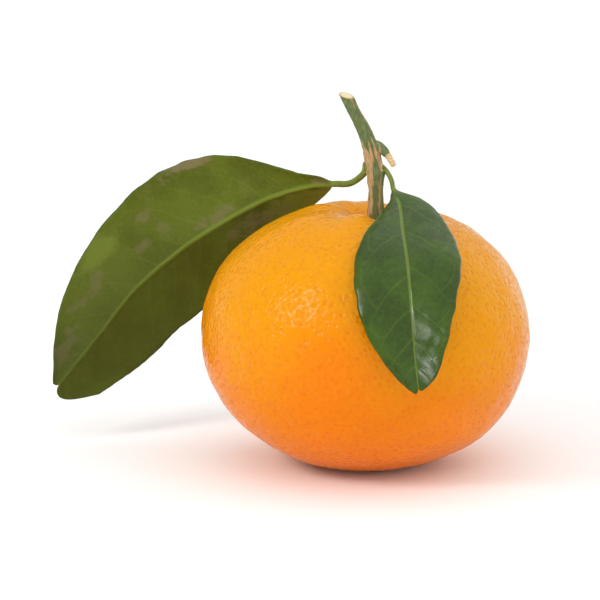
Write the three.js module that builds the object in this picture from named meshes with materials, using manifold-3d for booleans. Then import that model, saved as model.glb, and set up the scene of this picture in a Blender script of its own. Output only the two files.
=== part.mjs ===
// A mandarin as picked: the whole fruit, the calyx in the hollow of its crown, a forked twig and two leaves.
// Millimetres, +Z up. The origin is the middle of the small flat spot that the fruit rests on.
// +X is to the right and -Y is towards whoever looks at the front, where the small leaf hangs.
import * as THREE from "three";
import { mergeVertices } from "three/addons/utils/BufferGeometryUtils.js";
import Module from "manifold-3d";

// The fruit: an oblate body, a little squarer than an ellipse above and below its widest level.
const FRUIT_RADIUS = 32.9;
const WIDEST_LEVEL = 26.4;
const RESTING_RADIUS = 8;
const BASE_SQUARENESS = 2.1;
const CROWN_RISE = 27.1;
const CROWN_SQUARENESS = 2.03;
const FRUIT_SIDES = 72;
const CROWN_RINGS = 15;
const BODY_RINGS = 20;
const CROWN_ANGLE = THREE.MathUtils.degToRad(34);

// The hollow in the crown, where the stalk stands: a wide funnel and a narrow pit, puckered by furrows.
const STALK_X = 2.1;
const FUNNEL = { depth: 3.4, width: 8.4 };
const PIT = { depth: 3.3, width: 4.6 };
const FURROWS = [
  { lobes: 5, depth: 0.3, turn: 0.4 },
  { lobes: 9, depth: 0.2, turn: 1.9 },
];
const FURROW_RING = { radius: 9, width: 6, startsAt: 4 };
const HOLLOW_STEPS = 6;

// Broad hills (positive) and hollows (negative) that make the body a little uneven.
// Azimuth runs anticlockwise from +X and level is the angle above the widest level, both in degrees.
// They fade out round the flat spot.
const HILLS = [
  { azimuth: 172, level: 24, height: 0.35, spread: 20 },
  { azimuth: 8, level: 20, height: 0.2, spread: 22 },
  { azimuth: 185, level: -42, height: -0.5, spread: 20 },
  { azimuth: 350, level: -40, height: 0.65, spread: 19 },
  { azimuth: 2, level: 37, height: 0.3, spread: 14 },
  { azimuth: 262, level: 40, height: 0.3, spread: 18 },
  { azimuth: 85, level: 20, height: 0.4, spread: 30 },
  { azimuth: 120, level: -25, height: -0.35, spread: 26 },
  { azimuth: 122, level: 74, height: 0.45, spread: 10 },
];
const HILL_FADE_ANGLE = 0.5;

// Separate pieces that touch in nature are kept this far apart.
const CLEARANCE = 0.3;

// The calyx: a thin green star with rounded points, lying on the floor of the hollow.
const CALYX = { points: 5, tip: 4.5, notch: 3.0, thickness: 0.8, thinning: 0.45, gap: 0.4 };
const CALYX_BOSS = { height: 0.6, innerRadius: 1.9, outerRadius: 2.9 };
const CALYX_SIDES = 40;
const CALYX_RINGS = 5;

// The twig: the stalk under the fork, the cut shoot that leans left above it, and a broken side stub on the
// right. Each station is [x, y, z, radius].
const STALK = [
  [2.1, 0, 48.7, 1.85],
  [2.1, 0, 49.9, 1.72],
  [2.1, 0, 52.4, 1.58],
  [2.05, 0, 55.4, 1.42],
  [2.0, 0, 57.6, 1.62],
  [2.0, 0, 59.3, 1.84],
  [1.68, -0.1, 60.9, 1.64],
  [1.25, -0.15, 62.7, 1.62],
  [0.9, -0.25, 64.6, 1.45],
];
const SHOOT = [
  [1.2, -0.2, 63.0, 1.3],
  [0.6, -0.35, 65.2, 1.48],
  [-0.4, -0.6, 67.8, 1.36],
  [-2.05, -0.9, 70.9, 1.2],
  [-3.9, -1.3, 74.7, 1.22],
];
const STUB = [
  [0.9, -0.2, 64.7, 1.15],
  [2.4, -0.5, 64.35, 1.1],
  [3.7, -0.8, 63.45, 0.86],
  [4.65, -1.0, 62.25, 0.62],
  [5.6, -1.2, 60.6, 0.54],
];
const SHOOT_CUT = { slope: 0.85, towards: new THREE.Vector3(0.93, -0.36, 0) };
const TWIG_SIDES = 14;
const LIMB_STEPS = 3;

// Leaves. A station gives a point of the midrib, the direction across the leaf to its right half, and the
// widths of both halves there. Right and left are seen from the upper side, with the tip pointing away.
// Tip lobes are how far each half runs on past the midrib's end, and tip folds are the degrees that each half
// folds up further towards the tip, where its edge curls back less.
const BLADE_THICKNESS = 0.6;
const BLADE_ROWS = 40;
const BLADE_COLUMNS = 10;
const MIDRIB_SIDES = 8;
const MIDRIB_TAPER = 0.55;
const MIDRIB_SINK = 0.2;
const PETIOLE_FLARE = 2.1;
const TIP_LOBES_START = 0.88;
const TIP_LOBE_LEAN = 0.65;
const TIP_FOLD_SPAN = { start: 0.4, end: 0.72 };
const TIP_RECURVE_LOSS = 0.6;
const WAVE_START = 0.3;

const LARGE_LEAF = {
  petiole: [
    [0.7, 0.3, 60.4],
    [-0.9, 1.2, 58.15],
    [-3.2, 4.4, 56.25],
  ],
  stations: [
    { at: [-6.4, 8.0, 55.6], across: [-0.5, -0.56, 0.58], right: 1.7, left: 0.6 },
    { at: [-11.0, 11.2, 54.6], across: [-0.5, -0.5, 0.65], right: 3.3, left: 4.9 },
    { at: [-17.1, 15.15, 52.4], across: [-0.5, -0.38, 0.76], right: 8.0, left: 8.0 },
    { at: [-23.2, 18.35, 49.3], across: [-0.52, -0.25, 0.8], right: 12.1, left: 10.0 },
    { at: [-30.25, 20.7, 44.85], across: [-0.57, -0.13, 0.8], right: 14.9, left: 12.1 },
    { at: [-37.6, 21.65, 39.9], across: [-0.6, -0.06, 0.78], right: 15.4, left: 13.2 },
    { at: [-47.3, 21.2, 31.5], across: [-0.68, -0.02, 0.72], right: 13.4, left: 12.9 },
    { at: [-54.9, 19.3, 22.1], across: [-0.85, 0, 0.5], right: 9.6, left: 11.5 },
    { at: [-63.2, 16.0, 12.2], across: [-0.97, 0, 0.22], right: 1.2, left: 8.6 },
  ],
  tipLobes: { right: 0.2, left: 2.9 },
  tipFolds: { right: 0, left: 0 },
  foldDegrees: 20,
  recurve: 0.16,
  wave: { height: 0.4, count: 2.6, turn: 0.6 },
  teeth: { height: 0.09, count: 13 },
  petioleRadius: 0.65,
  midribRadius: 0.62,
};

const SMALL_LEAF = {
  petiole: [
    [2.9, -0.2, 60.0],
    [4.2, -0.6, 59.3],
    [5.1, -1.8, 57.8],
  ],
  stations: [
    { at: [5.5, -4.0, 56.0], across: [1, 0.12, -0.1], right: 3.2, left: 0.5 },
    { at: [6.4, -9.2, 53.9], across: [1, 0.1, -0.08], right: 7.1, left: 2.3 },
    { at: [6.8, -18.8, 50.2], across: [1, 0.08, -0.04], right: 9.9, left: 7.2 },
    { at: [7.3, -26.0, 46.3], across: [1, 0.06, 0], right: 10.4, left: 9.9 },
    { at: [7.7, -31.3, 41.4], across: [1, 0.06, 0], right: 9.2, left: 10.3 },
    { at: [8.1, -34.4, 35.7], across: [1, 0.05, 0], right: 7.4, left: 9.5 },
    { at: [8.5, -37.1, 30.1], across: [1, 0.03, 0], right: 5.5, left: 6.9 },
    { at: [8.9, -38.9, 26.3], across: [1, 0, 0], right: 3.7, left: 4.2 },
    { at: [9.1, -39.8, 24.2], across: [1, 0, 0], right: 1.5, left: 1.9 },
  ],
  tipLobes: { right: 0.55, left: 1.1 },
  tipFolds: { right: 20, left: 0 },
  foldDegrees: 9,
  recurve: 0.2,
  wave: { height: 0.3, count: 2.1, turn: 1.2 },
  teeth: { height: 0.1, count: 9 },
  petioleRadius: 0.48,
  midribRadius: 0.5,
};

const RIND = { color: "#f59a17", roughness: 0.4, metalness: 0 };
const CALYX_GREEN = { color: "#6f7a35", roughness: 0.8, metalness: 0 };
const BARK = { color: "#7d7446", roughness: 0.85, metalness: 0 };
const LARGE_LEAF_GREEN = { color: "#5d6a26", roughness: 0.6, metalness: 0 };
const SMALL_LEAF_GREEN = { color: "#456030", roughness: 0.35, metalness: 0 };

const WELD_DISTANCE = 1e-4;

const wasm = await Module();
wasm.setup();

function smoothstep(low, high, value) {
  return THREE.MathUtils.smoothstep(value, low, high);
}

// A solid for joining and cutting, from a closed geometry.
function solidOf(geometry) {
  const bare = geometry.clone();
  bare.deleteAttribute("normal");
  bare.deleteAttribute("uv");
  const merged = mergeVertices(bare, WELD_DISTANCE);
  const mesh = new wasm.Mesh({
    numProp: 3,
    vertProperties: new Float32Array(merged.getAttribute("position").array),
    triVerts: new Uint32Array(merged.getIndex().array),
  });
  return new wasm.Manifold(mesh);
}

function geometryOf(solid) {
  const mesh = solid.getMesh();
  const geometry = new THREE.BufferGeometry();
  geometry.setAttribute("position", new THREE.BufferAttribute(mesh.vertProperties, 3));
  geometry.setIndex(new THREE.BufferAttribute(mesh.triVerts, 1));
  geometry.computeVertexNormals();
  return geometry;
}

// A closed geometry from points and faces, where a face is a list of three or four point numbers.
function closedGeometry(points, faces) {
  const triangles = faces.flatMap((face) => {
    const [a, b, c, d] = face;
    return face.length === 3 ? [a, b, c] : [a, b, c, a, c, d];
  });
  const coordinates = points.flatMap((p) => [p.x, p.y, p.z]);
  const geometry = new THREE.BufferGeometry();
  geometry.setAttribute("position", new THREE.Float32BufferAttribute(coordinates, 3));
  geometry.setIndex(triangles);
  geometry.computeVertexNormals();
  return geometry;
}

// Rings of equal length, each joined to the next, with a point closing each end. Rings run anticlockwise seen
// from the end of the list.
function skinOfRings(rings, firstPoint, lastPoint) {
  const sides = rings[0].length;
  const points = [...rings.flat(), firstPoint, lastPoint];
  const firstNumber = points.length - 2;
  const lastNumber = points.length - 1;
  const faces = [];
  for (let i = 0; i < sides; i++) {
    const next = (i + 1) % sides;
    faces.push([firstNumber, next, i]);
    for (let ring = 0; ring + 1 < rings.length; ring++) {
      const here = ring * sides;
      const above = here + sides;
      faces.push([here + i, here + next, above + next, above + i]);
    }
    const lastRing = (rings.length - 1) * sides;
    faces.push([lastNumber, lastRing + i, lastRing + next]);
  }
  return closedGeometry(points, faces);
}

// The depth below which the base would close to a point, so that the flat spot has its radius.
const BASE_DROP =
  WIDEST_LEVEL / (1 - (RESTING_RADIUS / FRUIT_RADIUS) ** BASE_SQUARENESS) ** (1 / BASE_SQUARENESS);
const REST_ANGLE = Math.atan2(RESTING_RADIUS, -WIDEST_LEVEL);

// How far the crown sinks at a place, seen from above.
function hollowDepth(x, y) {
  const from = Math.hypot(x - STALK_X, y);
  const around = Math.atan2(y, x - STALK_X);
  const funnel = FUNNEL.depth * Math.exp(-((from / FUNNEL.width) ** 2));
  const pit = PIT.depth * Math.exp(-((from / PIT.width) ** 2));
  const ring = Math.exp(-(((from - FURROW_RING.radius) / FURROW_RING.width) ** 2));
  const pucker = FURROWS.reduce((sum, f) => sum + f.depth * Math.cos(f.lobes * around + f.turn), 0);
  return funnel + pit + pucker * ring * smoothstep(0, FURROW_RING.startsAt, from);
}

function directionAt(polar, azimuth) {
  return new THREE.Vector3(
    Math.sin(polar) * Math.cos(azimuth),
    Math.sin(polar) * Math.sin(azimuth),
    Math.cos(polar),
  );
}

const HILL_DIRECTIONS = HILLS.map(({ azimuth, level }) =>
  directionAt(THREE.MathUtils.degToRad(90 - level), THREE.MathUtils.degToRad(azimuth)),
);

function hillHeight(direction, polar) {
  const fade = 1 - smoothstep(REST_ANGLE - HILL_FADE_ANGLE, REST_ANGLE, polar);
  return HILLS.reduce((sum, hill, i) => {
    const angle = THREE.MathUtils.radToDeg(direction.angleTo(HILL_DIRECTIONS[i]));
    return sum + fade * hill.height * Math.exp(-((angle / hill.spread) ** 2));
  }, 0);
}

// The skin's distance from the middle of the widest level, in a direction.
function fruitReach(direction) {
  const polar = Math.acos(THREE.MathUtils.clamp(direction.z, -1, 1));
  const level = Math.hypot(direction.x, direction.y);
  const crown = direction.z > 0;
  const rise = crown ? CROWN_RISE : BASE_DROP;
  const power = crown ? CROWN_SQUARENESS : BASE_SQUARENESS;
  const squares = (level / FRUIT_RADIUS) ** power + (Math.abs(direction.z) / rise) ** power;
  const body = squares ** (-1 / power) + hillHeight(direction, polar);
  let reach = body;
  for (let i = 0; crown && i < HOLLOW_STEPS; i++) {
    reach = body - hollowDepth(direction.x * reach, direction.y * reach);
  }
  return reach;
}

function fruitPoint(direction) {
  const point = direction.clone().multiplyScalar(fruitReach(direction));
  point.z += WIDEST_LEVEL;
  return point;
}

// Rings from the crown to the flat spot, closer together in the crown's hollow.
function fruit() {
  const angles = [];
  for (let i = 1; i <= CROWN_RINGS; i++) angles.push((CROWN_ANGLE * i) / CROWN_RINGS);
  for (let i = 1; i <= BODY_RINGS; i++) {
    angles.push(THREE.MathUtils.lerp(CROWN_ANGLE, REST_ANGLE, i / BODY_RINGS));
  }
  const rings = angles.map((polar) => {
    const ring = [];
    for (let side = 0; side < FRUIT_SIDES; side++) {
      ring.push(fruitPoint(directionAt(polar, (2 * Math.PI * side) / FRUIT_SIDES)));
    }
    return ring;
  });
  rings.at(-1).forEach((point) => {
    point.z = 0;
  });
  const crown = fruitPoint(new THREE.Vector3(0, 0, 1));
  return skinOfRings(rings.reverse(), new THREE.Vector3(0, 0, 0), crown);
}

// The skin at a place in the hollow, given from the stalk and seen from above, lifted off it by a height.
function hollowPoint(from, around, above) {
  const x = STALK_X + from * Math.cos(around);
  const y = from * Math.sin(around);
  const point = new THREE.Vector3(x, y, CROWN_RISE);
  for (let i = 0; i < HOLLOW_STEPS; i++) {
    const reach = fruitReach(point.clone().normalize());
    point.z = Math.sqrt(Math.max(reach ** 2 - x ** 2 - y ** 2, 0));
  }
  point.z += WIDEST_LEVEL + above;
  return point;
}

function calyxRing(share, heightAt) {
  const middle = (CALYX.tip + CALYX.notch) / 2;
  const swing = (CALYX.tip - CALYX.notch) / 2;
  const ring = [];
  for (let side = 0; side < CALYX_SIDES; side++) {
    const around = (2 * Math.PI * side) / CALYX_SIDES;
    const reach = (middle + swing * Math.cos(CALYX.points * around)) * share;
    ring.push(hollowPoint(reach, around, heightAt(share, reach)));
  }
  return ring;
}

// Rings out along the underside and back over the top, which has a boss that takes the stalk.
function calyx() {
  const underside = () => CALYX.gap;
  const top = (share, reach) => {
    const thickness = CALYX.thickness * (1 - CALYX.thinning * share ** 3);
    const boss = 1 - smoothstep(CALYX_BOSS.innerRadius, CALYX_BOSS.outerRadius, reach);
    return CALYX.gap + thickness + CALYX_BOSS.height * boss;
  };
  const rings = [];
  for (let i = 1; i <= CALYX_RINGS; i++) rings.push(calyxRing(i / CALYX_RINGS, underside));
  for (let i = CALYX_RINGS; i >= 1; i--) rings.push(calyxRing(i / CALYX_RINGS, top));
  const star = skinOfRings(rings, hollowPoint(0, 0, underside()), hollowPoint(0, 0, top(0, 0)));
  return geometryOf(solidOf(star).subtract(twigSolid(CLEARANCE)));
}

// A round limb along stations of [x, y, z, radius], thicker and longer all round by extra. A cut slopes its
// far end down towards a direction.
function limb(stations, sides, extra = 0, cut = { slope: 0, towards: new THREE.Vector3() }) {
  const places = stations.map(([x, y, z]) => new THREE.Vector3(x, y, z));
  const route = new THREE.CatmullRomCurve3(places, false, "centripetal");
  const steps = (stations.length - 1) * LIMB_STEPS;
  const centres = [];
  const rings = [];
  for (let step = 0; step <= steps; step++) {
    const share = step / steps;
    const place = share * (stations.length - 1);
    const before = Math.min(Math.floor(place), stations.length - 2);
    const radius = THREE.MathUtils.lerp(stations[before][3], stations[before + 1][3], place - before) + extra;
    const along = route.getTangent(share);
    const overhang = (Number(step === steps) - Number(step === 0)) * extra;
    const centre = route.getPoint(share).addScaledVector(along, overhang);
    const first = new THREE.Vector3(0, -1, 0).projectOnPlane(along).normalize();
    const second = new THREE.Vector3().crossVectors(along, first);
    const ring = [];
    for (let side = 0; side < sides; side++) {
      const turn = (2 * Math.PI * side) / sides;
      const spoke = new THREE.Vector3()
        .addScaledVector(first, radius * Math.cos(turn))
        .addScaledVector(second, radius * Math.sin(turn));
      const drop = step === steps ? cut.slope * spoke.dot(cut.towards) : 0;
      ring.push(centre.clone().add(spoke).addScaledVector(along, -drop));
    }
    centres.push(centre);
    rings.push(ring);
  }
  return skinOfRings(rings, centres[0], centres.at(-1));
}

function twigSolid(extra) {
  return solidOf(limb(STALK, TWIG_SIDES, extra))
    .add(solidOf(limb(SHOOT, TWIG_SIDES, extra, SHOOT_CUT)))
    .add(solidOf(limb(STUB, TWIG_SIDES, extra)));
}

function curveThrough(points) {
  const places = points.map((p) => new THREE.Vector3(...p));
  return new THREE.CatmullRomCurve3(places, false, "catmullrom", 0.5);
}

// A leaf's curves along its length: the midrib, the direction across, and both halves' widths as x and y.
function leafCurves(leaf) {
  return {
    midrib: curveThrough(leaf.stations.map((station) => station.at)),
    across: curveThrough(leaf.stations.map((station) => station.across)),
    widths: curveThrough(leaf.stations.map((station) => [station.right, station.left, 0])),
  };
}

// The leaf's own directions at a share of its length.
function leafFrame(curves, share) {
  const along = curves.midrib.getTangent(share);
  const right = curves.across.getPoint(share).normalize();
  const upper = new THREE.Vector3().crossVectors(along, right).normalize();
  return { along, right, upper };
}

// A blade's middle surface at a share of its length and of its half width, from -1 on the left to 1.
function leafPoint(leaf, curves, share, side) {
  const { along, right, upper } = leafFrame(curves, share);
  const { teeth, wave, tipLobes, tipFolds } = leaf;
  const out = Math.abs(side);
  const widths = curves.widths.getPoint(share);
  const tooth = teeth.height * Math.sin(2 * Math.PI * teeth.count * share) * Math.sin(Math.PI * share);
  const half = (side < 0 ? widths.y : widths.x) + tooth;
  const towardsTip = smoothstep(TIP_FOLD_SPAN.start, TIP_FOLD_SPAN.end, share);
  const tipFold = (side < 0 ? tipFolds.left : tipFolds.right) * towardsTip;
  const recurve = leaf.recurve * (1 - (tipFold > 0 ? TIP_RECURVE_LOSS * towardsTip : 0));
  const fold = Math.tan(THREE.MathUtils.degToRad(leaf.foldDegrees + tipFold)) * out - recurve * out ** 3;
  const swing = Math.sin(2 * Math.PI * wave.count * share + wave.turn * Math.sign(side));
  const lift = half * fold + wave.height * swing * out ** 2 * smoothstep(0, WAVE_START, share);
  const lobe = (side < 0 ? tipLobes.left : tipLobes.right) * smoothstep(TIP_LOBES_START, 1, share);
  return curves.midrib
    .getPoint(share)
    .addScaledVector(right, half * side)
    .addScaledVector(upper, lift)
    .addScaledVector(along, lobe * Math.sin(Math.PI * out ** TIP_LOBE_LEAN));
}

// The blade as two faces, split into triangles alike, with a rim between them.
function bladeGeometry(leaf, curves) {
  const rows = BLADE_ROWS + 1;
  const columns = BLADE_COLUMNS + 1;
  const middle = [];
  for (let row = 0; row < rows; row++) {
    for (let column = 0; column < columns; column++) {
      middle.push(leafPoint(leaf, curves, row / BLADE_ROWS, (2 * column) / BLADE_COLUMNS - 1));
    }
  }
  const at = (row, column) => {
    const nearRow = THREE.MathUtils.clamp(row, 0, rows - 1);
    const nearColumn = THREE.MathUtils.clamp(column, 0, columns - 1);
    return middle[nearRow * columns + nearColumn];
  };
  const normals = middle.map((_, i) => {
    const row = Math.floor(i / columns);
    const column = i % columns;
    const lengthwise = at(row + 1, column).clone().sub(at(row - 1, column));
    const crosswise = at(row, column + 1).clone().sub(at(row, column - 1));
    return lengthwise.cross(crosswise).normalize();
  });
  const face = (height) => middle.map((p, i) => p.clone().addScaledVector(normals[i], height));
  const below = middle.length;
  const faces = [];
  for (let row = 0; row + 1 < rows; row++) {
    for (let column = 0; column + 1 < columns; column++) {
      const a = row * columns + column;
      const b = a + 1;
      const c = b + columns;
      const d = a + columns;
      faces.push([a, c, b], [a, d, c]);
      faces.push([below + a, below + b, below + c], [below + a, below + c, below + d]);
    }
  }
  const rim = [];
  for (let column = 0; column < columns; column++) rim.push(column);
  for (let row = 1; row < rows; row++) rim.push(row * columns + columns - 1);
  for (let column = columns - 2; column >= 0; column--) rim.push((rows - 1) * columns + column);
  for (let row = rows - 2; row > 0; row--) rim.push(row * columns);
  rim.forEach((here, i) => {
    const next = rim[(i + 1) % rim.length];
    faces.push([here, next, below + next, below + here]);
  });
  return closedGeometry([...face(BLADE_THICKNESS / 2), ...face(-BLADE_THICKNESS / 2)], faces);
}

// The petiole, thicker where it leaves the twig, running on under the blade as the midrib.
function ribGeometry(leaf, curves) {
  const petiole = leaf.petiole.map((p, i) => [...p, leaf.petioleRadius * (i ? 1 : PETIOLE_FLARE)]);
  const rib = leaf.stations.slice(0, -1).map((_, i) => {
    const share = i / (leaf.stations.length - 1);
    const sunk = MIDRIB_SINK * smoothstep(0, WAVE_START, share);
    const point = curves.midrib.getPoint(share).addScaledVector(leafFrame(curves, share).upper, -sunk);
    const radius = i ? leaf.midribRadius * (1 - MIDRIB_TAPER * share) : leaf.petioleRadius;
    return [point.x, point.y, point.z, radius];
  });
  return limb([...petiole, ...rib], MIDRIB_SIDES);
}

function leafGeometry(leaf) {
  const curves = leafCurves(leaf);
  const blade = solidOf(bladeGeometry(leaf, curves));
  const rib = solidOf(ribGeometry(leaf, curves));
  return geometryOf(blade.add(rib).subtract(twigSolid(CLEARANCE)));
}

function piece(name, geometry, finish) {
  const mesh = new THREE.Mesh(geometry, new THREE.MeshStandardMaterial(finish));
  mesh.name = name;
  return mesh;
}

const mandarin = new THREE.Group();
mandarin.name = "mandarin";
mandarin.add(
  piece("fruit", fruit(), RIND),
  piece("calyx", calyx(), CALYX_GREEN),
  piece("twig", geometryOf(twigSolid(0)), BARK),
  piece("large_leaf", leafGeometry(LARGE_LEAF), LARGE_LEAF_GREEN),
  piece("small_leaf", leafGeometry(SMALL_LEAF), SMALL_LEAF_GREEN),
);

export default mandarin;
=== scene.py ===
# A mandarin as picked, in fine meshes and natural finishes: fruit, calyx, a forked twig and two leaves.
# Lengths are millimetres in the part's own frame, and MM turns them into metres. +Z is up, -Y is the front.
import math

import bpy
import numpy as np
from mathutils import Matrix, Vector
from mathutils.kdtree import KDTree


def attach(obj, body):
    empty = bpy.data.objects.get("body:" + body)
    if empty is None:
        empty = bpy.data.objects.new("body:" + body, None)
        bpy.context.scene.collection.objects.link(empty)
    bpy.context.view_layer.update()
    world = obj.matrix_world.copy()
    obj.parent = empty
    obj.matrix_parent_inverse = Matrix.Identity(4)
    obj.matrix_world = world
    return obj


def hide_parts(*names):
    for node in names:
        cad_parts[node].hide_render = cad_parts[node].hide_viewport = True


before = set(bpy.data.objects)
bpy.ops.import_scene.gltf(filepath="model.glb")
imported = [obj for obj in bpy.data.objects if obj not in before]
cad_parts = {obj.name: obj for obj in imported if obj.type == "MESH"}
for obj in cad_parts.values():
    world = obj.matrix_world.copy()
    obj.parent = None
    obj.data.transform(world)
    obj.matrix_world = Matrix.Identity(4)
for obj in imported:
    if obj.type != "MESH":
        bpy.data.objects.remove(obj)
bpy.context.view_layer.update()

MM = 0.001
ROUTE_POINTS = 600
WAVE_COUNT = 28
WAVE_SIZES = (0.75, 1.5)

# The fruit's body: an oblate round, a little squarer than an ellipse above and below its widest level.
FRUIT_RADIUS = 32.9
WIDEST_LEVEL = 26.4
RESTING_RADIUS = 8
BASE_SQUARENESS = 2.1
CROWN_RISE = 27.1
CROWN_SQUARENESS = 2.03
HILL_FADE_ANGLE = 0.5

# The hollow in the crown, where the stalk stands, and the furrows that pucker it, by lobes, depth and turn.
STALK_X = 2.1
FUNNEL = {"depth": 3.4, "width": 8.4}
PIT = {"depth": 3.3, "width": 4.6}
FURROWS = [(5, 0.3, 0.4), (9, 0.2, 1.9)]
FINE_FURROWS = {"lobes": 23, "depth": 0.09, "turn": 0.8, "bend": 2, "bends": 3, "radius": 6.5, "width": 3.0}
FURROW_RING = {"radius": 9, "width": 6, "starts_at": 4}
HOLLOW_STEPS = 6

# Broad hills and hollows: azimuth, level, height and spread, in degrees and millimetres.
HILLS = [
    (172, 24, 0.35, 20),
    (8, 20, 0.2, 22),
    (185, -42, -0.5, 20),
    (350, -40, 0.65, 19),
    (2, 37, 0.3, 14),
    (262, 40, 0.3, 18),
    (85, 20, 0.4, 30),
    (120, -25, -0.35, 26),
    (122, 74, 0.45, 10),
]

# The rind: oil glands as small round pits, over gentle humps given by height, size and seed. Both fade out
# close to the stalk and where the fruit rests. The scar lies in the dimple underneath.
FRUIT_CELLS = 126
MERGE_GRID = 1e6
GLANDS = {"count": 8200, "radius": (0.45, 0.78), "depth": (0.06, 0.14), "stray": 0.24}
GLAND_SEEDS = {"places": 2, "sizes": 3}
HUMPS = [(0.07, 5.5, 20), (0.035, 2.4, 21)]
CALM_BY_STALK = (3.5, 6.5)
RESTING_BLEND = 5
DIMPLE = {"depth": 0.9, "radius": 7.6}
SCAR = {"radius": 1.3, "depth": 0.35}
# Where the rind is coloured a deeper orange, mostly as painted shade: low at the front, in a band beside the
# small leaf, on the left side and low at the front right; one more lies low at the back. Azimuth, level,
# share and spread, in degrees.
PAINTED_SHADE_SPOTS = [
    (264, -38, 0.75, 38),
    (256, 2, 0.5, 17),
    (180, 0, 0.5, 22),
    (300, -60, 0.15, 30),
    (95, -20, 0.6, 45),
]

# The calyx: a thin star on the floor of the hollow. Its outline swings by height, count and turn.
CALYX = {"points": 5, "tip": 4.5, "notch": 3.0, "gap": 0.12}
CALYX_BODY = {"thickness": 0.8, "thinning": 0.45, "rounding": 14}
CALYX_BOSS = {"height": 0.7, "inner": 1.5, "outer": 3.1}
CALYX_SWINGS = [(0.16, 2, 1), (0.1, 7, 0.5), (0.05, 31, 0)]
CALYX_RIDGES = {"height": 0.05, "count": 25, "sway": 5, "starts": (1.6, 2.6), "fade": 6}
CALYX_KEEL = {"height": 0.14, "sharpness": 4}
CALYX_CURL = {"height": 0.14, "starts": (0.75, 1)}
CALYX_GRAIN = {"height": 0.03, "size": 0.5, "seed": 41}
CALYX_SIDES = 200
CALYX_RINGS = 26

# The twig: stations of x, y, z and radius.
STALK = [
    (2.1, 0, 48.0, 1.9),
    (2.1, 0, 49.9, 1.72),
    (2.1, 0, 52.4, 1.58),
    (2.05, 0, 55.4, 1.42),
    (2.0, 0, 57.6, 1.62),
    (2.0, 0, 59.3, 1.84),
    (1.68, -0.1, 60.9, 1.64),
    (1.25, -0.15, 62.7, 1.62),
    (0.9, -0.25, 64.6, 1.45),
]
STATIONS_BELOW_FORK = 6
SHOOT = [
    (1.2, -0.2, 63.0, 1.3),
    (0.6, -0.35, 65.2, 1.48),
    (-0.4, -0.6, 67.8, 1.36),
    (-2.05, -0.9, 70.9, 1.2),
    (-3.9, -1.3, 74.7, 1.22),
]
STUB = [
    (0.9, -0.2, 64.7, 1.15),
    (2.4, -0.5, 64.35, 1.1),
    (3.7, -0.8, 63.45, 0.86),
    (4.65, -1.0, 62.25, 0.62),
    (5.6, -1.2, 60.6, 0.54),
]
SHOOT_CUT = {"slope": 0.85, "towards": (0.93, -0.36, 0), "rings_moved": 7, "least_step": 0.5}
TWIG_SIDES = 40
TWIG_STEP = 0.2
TWIG_VOXEL = 0.1
TWIG_SOFTENING = {"rounds": 8, "share": 0.6, "held": 0.85, "held_from": (-0.35, -0.1)}

# The bark: where the cut and the break show, where it is corky, and its relief, as height, size and seed.
CUT_FACE = {"starts": (-0.16, -0.05), "level": 72}
BREAK = {"starts": (-0.8, -0.4), "reach": 3, "ragged": [(0.22, 0.5, 8)]}
STUB_SIDE = (2.6, 3.4)
CORK = {"from": (48.5, 51.5), "to": (62.5, 65), "side": (0.225, 0.975), "back": (0, 1), "least": (0.65, 1.15)}
CORK_FORK = {"level": 62.6, "width": 1.7}
CORK_SHARES = {"streak": 0.45, "sides": 1.35, "level": 0.1, "fork": 0.65}
STREAKS = [(1, (0.42, 0.42, 3.4), 31), (0.5, (0.16, 0.16, 1.3), 32)]
BARK_RIBS = [(0.05, 3, 0.12), (0.02, 8, 0.2)]
BARK_GRAIN = [(0.022, (0.15, 0.15, 2.2), 33), (0.012, 0.2, 34)]
CORK_HEIGHT = 0.07
CORK_GRAIN = [(0.05, (0.17, 0.17, 0.9), 35)]
SPLINTERS = [(0.06, 0.22, 36)]

# Leaves. A station gives a point of the midrib, the direction across to the leaf's right half, and the widths
# of both halves there. Right and left are seen from the upper side, the tip pointing away. A patch, pale or
# scabby, has its place along and across, its reach both ways and its strength.
# Pale patches are pale blotches, and on the large leaf also painted light near the base.
LEAF_THICKNESS = 0.4
EDGE_SQUARENESS = 26
TIP_ROUNDING = (0.99, 1)
MIDRIB_TAPER = 0.55
MIDRIB_RIDGE = 0.6
GROOVE_WIDTH = 0.8
RIB_TINT_WIDTHS = (0.85, 1.1)
PETIOLE = {"flare": 2.1, "flare_length": 1.1, "flattens": (-0.03, 0.06)}
BLADE_OPENS = (0.02, 0.12)
TIP_LOBES_START = 0.88
TIP_LOBE_LEAN = 0.65
TIP_FOLD_SPAN = (0.45, 0.72)
TIP_RECURVE_LOSS = 0.9
WAVE_START = 0.3
LEAF_COLUMNS = 60
COLUMN_CROWDING = 1.35
SIDE_VEIN = {"bend": 0.35, "width": 0.13, "taper": 0.5, "least": 0.04, "ends": (0.8, 0.9), "fading": 0.35}
VEIN_LOOP = {"share": 0.87, "dip": 0.24, "curve": 2.2, "width": 0.13, "strength": 0.5, "half": (1.5, 4)}
MINOR_VEIN = {"width": 0.12, "strength": 0.3, "ends": (0.25, 0.55)}
VEINS_BEYOND = {"before": (-30, -20, -10), "spacing": 6, "after": 100}
LEAST_HALF = 0.5
SWELL_SHARE = 1.6
SWELL_ENDS = (0.75, 1)
# Painted shade on a leaf's underside, by where it darkens across and along the blade.
SHADE = {"across": (0.2, -0.2), "left": (0.1, 0.4), "tip": (0.45, 0.9), "right": (0.35, 1), "edge": (0.8, 1)}

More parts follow.
